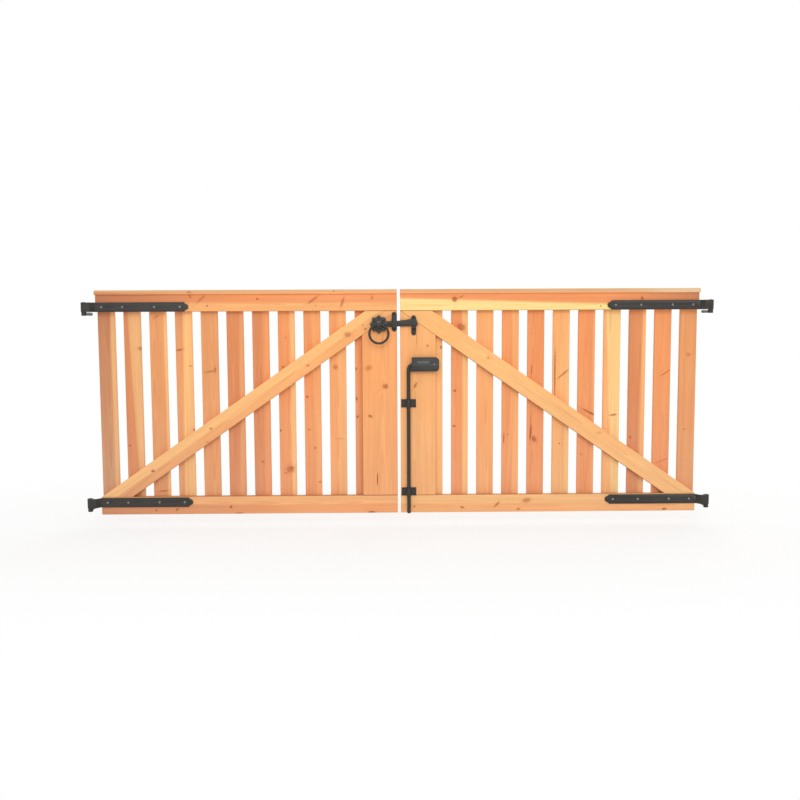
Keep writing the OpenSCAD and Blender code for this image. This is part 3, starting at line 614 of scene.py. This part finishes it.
def web_ring(node, front, back):
    """The web of a rosette: an oblong profile carried in a circle round the rosette's middle."""
    low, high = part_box(node)
    middle = (low + high) / 2
    radius = np.array([WEB_IN, WEB_OUT, WEB_OUT, WEB_IN])
    depth = np.array([front, front, back, back])
    angle = np.linspace(0, 2 * math.pi, WEB_SIDES, endpoint=False)
    rr, aa = np.meshgrid(radius, angle, indexing="ij")
    yy = np.broadcast_to(depth[:, None], rr.shape)
    points = np.stack([middle.x + rr * np.cos(aa), yy, middle.z + rr * np.sin(aa)], -1)
    cell = np.arange(rr.size).reshape(rr.shape)
    past = np.roll(cell, 1, 1)
    quads = np.stack([cell, past, np.roll(past, -1, 0), np.roll(cell, -1, 0)], -1).reshape(-1, 4)
    mesh = bpy.data.meshes.new("web")
    mesh.from_pydata(points.reshape(-1, 3).tolist(), [], quads.tolist())
    return mesh


def with_joined(mesh, other):
    """A mesh with the faces of another mesh added to it."""
    joined = bmesh.new()
    joined.from_mesh(mesh)
    joined.from_mesh(other)
    joined.to_mesh(mesh)
    joined.free()
    return mesh


CAST_CELL = 0.0006
iron = cast_coat()


def cast(node, body, web=None):
    """A copy of a CAD casting, built again from a fine even mesh and smoothed so that its corners fill.

    web is the front and back of the thin flat ring round its axis that fills in between the lobes.
    """
    mesh = merged_copy(node)
    if web:
        mesh = with_joined(mesh, web_ring(node, *web))
    made = add_piece("cast_" + node, mesh, iron, body)
    even = made.modifiers.new("even", "REMESH")
    even.mode = "VOXEL"
    even.voxel_size = CAST_CELL
    even.use_smooth_shade = True
    soft = made.modifiers.new("soft", "SMOOTH")
    soft.factor = 0.5
    soft.iterations = 3
    shown = made.evaluated_get(bpy.context.evaluated_depsgraph_get())
    mesh = bpy.data.meshes.new_from_object(shown)
    made.modifiers.clear()
    made.data = mesh
    mesh.shade_smooth()
    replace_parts(made, node)


WEB_T, SUNK = 0.004, 0.0002
wood_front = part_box("front_rosette")[1].y
wood_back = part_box("rear_rosette")[0].y
cast("front_rosette", "ring_latch", web=(wood_front - WEB_T, wood_front - SUNK))
cast("rear_rosette", "left_leaf", web=(wood_back + SUNK, wood_back + WEB_T))
cast("rear_knob", "ring_latch")
THIN_EDGE = 0.0006
rounded("latch_bar", "ring_latch", black, THICK_EDGE)
rounded("latch_guide", "left_leaf", black, THIN_EDGE)
rounded("latch_keep", "right_leaf", black, THIN_EDGE)
dress("front_ring", black)
dress("rear_ring", black)
dress("latch_spindle", zinc)


# The small black screws of the latch, the keep and the two brackets: 4.5 mm, with 9 mm domed heads. Those of
# the rear rosette are driven from the back, and are a little shorter.
SMALL_SCREW = dict(head_r=0.0045, head_h=0.0016, shank_r=0.00225, length=0.022, around=40, rows=18)
REAR_SCREW = dict(SMALL_SCREW, length=0.020)
for node, body in (("latch_screws", "left_leaf"), ("keep_and_bracket_screws", "right_leaf")):
    front, rear = [], []
    for low, high in shells(node):
        x, z = (low[0] + high[0]) / 2, (low[2] + high[2]) / 2
        if low[1] + high[1] < wood_front + wood_back:
            front.append((x, low[1] + SMALL_SCREW["head_h"], z))
        else:
            rear.append((x, high[1] - REAR_SCREW["head_h"], z))
    screws = screw_mesh(node + "_domed", front, TO_FRONT, SMALL_SCREW)
    if rear:
        screws = with_joined(screws, screw_mesh(node + "_rear", rear, TO_BACK, REAR_SCREW))
    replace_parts(add_piece(node + "_domed", screws, black, body), node)


# The drop bolt: an 18 mm black rod, bent over at the top into a moulded grip, which slides in two brackets.
# One zinc-plated screw holds the grip on the rod.
# Depths that bound the raised bar's painted highlight, and half heights of the painted sheen along its
# middle.
BAR_TOP, BAR_ROOT = 0.0003, 0.0009
PAINTED_SHEEN_MIDDLE, PAINTED_SHEEN_EDGE = 0.002, 0.009


def moulded():
    """Black moulded plastic: matt, with a fine even spark grain.

    Its colour holds a painted highlight on the face of the raised bar, and a fainter painted highlight along
    the grip's middle height.
    """
    made, tree = finish_of("moulded_plastic")
    place = put(tree, "TexCoord", out="Object")
    grain = mottle(tree, place, 1500.0, 2.0)
    shine = mottle(tree, place, 18.0, 2.0)
    colour = tint(tree, between(tree, shine, 0.35, 0.7), linear((42, 43, 41)), linear((54, 55, 52)))
    _, y, z = put(tree, "SeparateXYZ", {"Vector": place}, out=None).outputs
    low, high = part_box("bolt_grip")
    # Painted highlight on the face of the raised bar.
    painted_bar_highlight = between(tree, y, low.y + BAR_ROOT, low.y + BAR_TOP, 0.0, 0.6)
    colour = tint(tree, painted_bar_highlight, colour, linear((104, 106, 98)))
    # Painted sheen along the grip's middle height.
    painted_middle_sheen = calc(tree, "ABSOLUTE", calc(tree, "SUBTRACT", z, (low.z + high.z) / 2))
    painted_middle_sheen = between(tree, painted_middle_sheen, PAINTED_SHEEN_EDGE, PAINTED_SHEEN_MIDDLE, 0.0, 0.6)
    colour = tint(tree, painted_middle_sheen, colour, linear((66, 69, 63)))
    rough = between(tree, shine, 0.3, 0.7, 0.50, 0.64)
    close(tree, {"Base Color": colour, "Roughness": rough, "IOR": 1.5}, grain, 0.00012)
    return made


GRIP_EDGE = 0.0012
GRIP_SCREW = dict(head_r=0.0045, head_h=0.0025, shank_r=0.00225, length=0.018, around=48, rows=22)
rounded("upper_bracket", "right_leaf", black, THICK_EDGE)
rounded("lower_bracket", "right_leaf", black, THICK_EDGE)
rounded("bolt_grip", "drop_bolt", moulded(), GRIP_EDGE)
dress("drop_rod", black)
low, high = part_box("grip_screw")
under_head = ((low.x + high.x) / 2, low.y + GRIP_SCREW["head_h"], (low.z + high.z) / 2)
screw = screw_mesh("grip_domed_screw", [under_head], TO_FRONT, GRIP_SCREW)
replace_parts(add_piece("grip_domed_screw", screw, zinc, "drop_bolt"), "grip_screw")


# The floor: a pale sheet 6 cm below the hanging gate, which fades into the white room around it. The gate's
# soft shadow stays on it within 1.8 m of the line below the gate.
FLOOR_Z, FLOOR_HALF_W, FLOOR_NEAR, FLOOR_FAR = -0.06, 30, -20, 60
SHADOW_HALF_W, SHADOW_NEAR, SHADOW_FAR = 1.5, 0.2, 1.8


def background_rays(tree):
    """1 for the rays that see the background: those of the camera, of mirrors and of clear glass."""
    path = put(tree, "LightPath", out=None)
    seen = calc(tree, "MAXIMUM", path.outputs["Is Camera Ray"], path.outputs["Is Glossy Ray"])
    return calc(tree, "MAXIMUM", seen, path.outputs["Is Transmission Ray"])


def paper_floor():
    """Pale floor that shows as nearly white, and keeps the gate's soft shadow.

    It gives its own white light to the background's rays, less of it the nearer a spot is to the line below
    the gate, so that the shadow there stays.
    """
    made, tree = finish_of("paper_floor")
    seen = background_rays(tree)
    x, y, _ = put(tree, "SeparateXYZ", {"Vector": put(tree, "TexCoord", out="Object")}, out=None).outputs
    beside = calc(tree, "SUBTRACT", calc(tree, "ABSOLUTE", x), SHADOW_HALF_W)
    beside = calc(tree, "MAXIMUM", beside, 0.0)
    away = move(tree, "LENGTH", put(tree, "CombineXYZ", {"X": beside, "Y": y}), out="Value")
    share = between(tree, away, SHADOW_NEAR, SHADOW_FAR, 0.72, 1.0)
    plain = put(tree, "BsdfDiffuse", {"Color": (0.90, 0.90, 0.89, 1)})
    white = put(tree, "Emission", {"Color": (1, 1, 1, 1), "Strength": 1.0})
    both = put(tree, "MixShader", {0: calc(tree, "MULTIPLY", seen, share), 1: plain, 2: white})
    put(tree, "OutputMaterial", {"Surface": both}, out=None)
    return made


corners = [(x, y, FLOOR_Z) for x, y in ((-FLOOR_HALF_W, FLOOR_NEAR), (FLOOR_HALF_W, FLOOR_NEAR),
                                        (FLOOR_HALF_W, FLOOR_FAR), (-FLOOR_HALF_W, FLOOR_FAR))]
floor_mesh = bpy.data.meshes.new("floor")
floor_mesh.from_pydata(corners, [], [(0, 1, 2, 3)])
floor_mesh.materials.append(paper_floor())
floor = bpy.data.objects.new("floor", floor_mesh)
bpy.context.scene.collection.objects.link(floor)


# The light: an even white room, a large soft lamp in front and above, and a weaker one behind.
ROOM_LIGHT, ROOM_SEEN = 0.76, 1.0
room = bpy.data.worlds.new("room")
bpy.context.scene.world = room
room.use_nodes = True
room.node_tree.nodes.clear()
strength = between(room.node_tree, background_rays(room.node_tree), 0.0, 1.0, ROOM_LIGHT, ROOM_SEEN)
air = put(room.node_tree, "Background", {"Color": (1, 1, 1, 1), "Strength": strength})
put(room.node_tree, "OutputWorld", {"Surface": air}, out=None)

LAMPS_AIM = (0, 0, 0.5)
LAMPS = {
    "key": dict(place=(0.0, -6.5, 4.2), size=(5.0, 3.6), power=182.0),
    "rear": dict(place=(2.0, 5.0, 3.5), size=(4.0, 3.0), power=130.0),
}
for name, given in LAMPS.items():
    lamp = bpy.data.lights.new(name, "AREA")
    lamp.shape = "RECTANGLE"
    lamp.size, lamp.size_y = given["size"]
    lamp.energy = given["power"]
    away = Vector(given["place"]) - Vector(LAMPS_AIM)
    turn = away.to_track_quat("Z", "Y").to_matrix().to_4x4()
    lamp_object = bpy.data.objects.new(name, lamp)
    lamp_object.matrix_world = Matrix.Translation(given["place"]) @ turn
    bpy.context.scene.collection.objects.link(lamp_object)


# The camera: 4.5 m in front of the gate, a little above it and left of its middle, looking down 5 degrees.
# Its angles are in radians, and its focal length is in pixels of the picture's width.
STAND = (-0.0499, -4.5, 0.9596)
YAW, PITCH, ROLL = 0.01231, 0.08636, -0.00478
FOCAL, PICTURE_W, SENSOR_W = 895.6, 800, 36.0
ahead = np.array([math.sin(YAW) * math.cos(PITCH), math.cos(YAW) * math.cos(PITCH), -math.sin(PITCH)])
level_right = np.array([math.cos(YAW), -math.sin(YAW), 0.0])
level_up = np.cross(level_right, ahead)
right = math.cos(ROLL) * level_right + math.sin(ROLL) * level_up
up = math.cos(ROLL) * level_up - math.sin(ROLL) * level_right
lens = bpy.data.cameras.new("camera")
lens.sensor_width = SENSOR_W
lens.lens = FOCAL / PICTURE_W * SENSOR_W
camera = bpy.data.objects.new("camera", lens)
turn = np.eye(4)
turn[:3] = np.stack([right, up, -ahead, STAND], 1)
camera.matrix_world = Matrix(turn.tolist())
bpy.context.scene.collection.objects.link(camera)
bpy.context.scene.camera = camera
bpy.context.scene.view_settings.view_transform = "Standard"
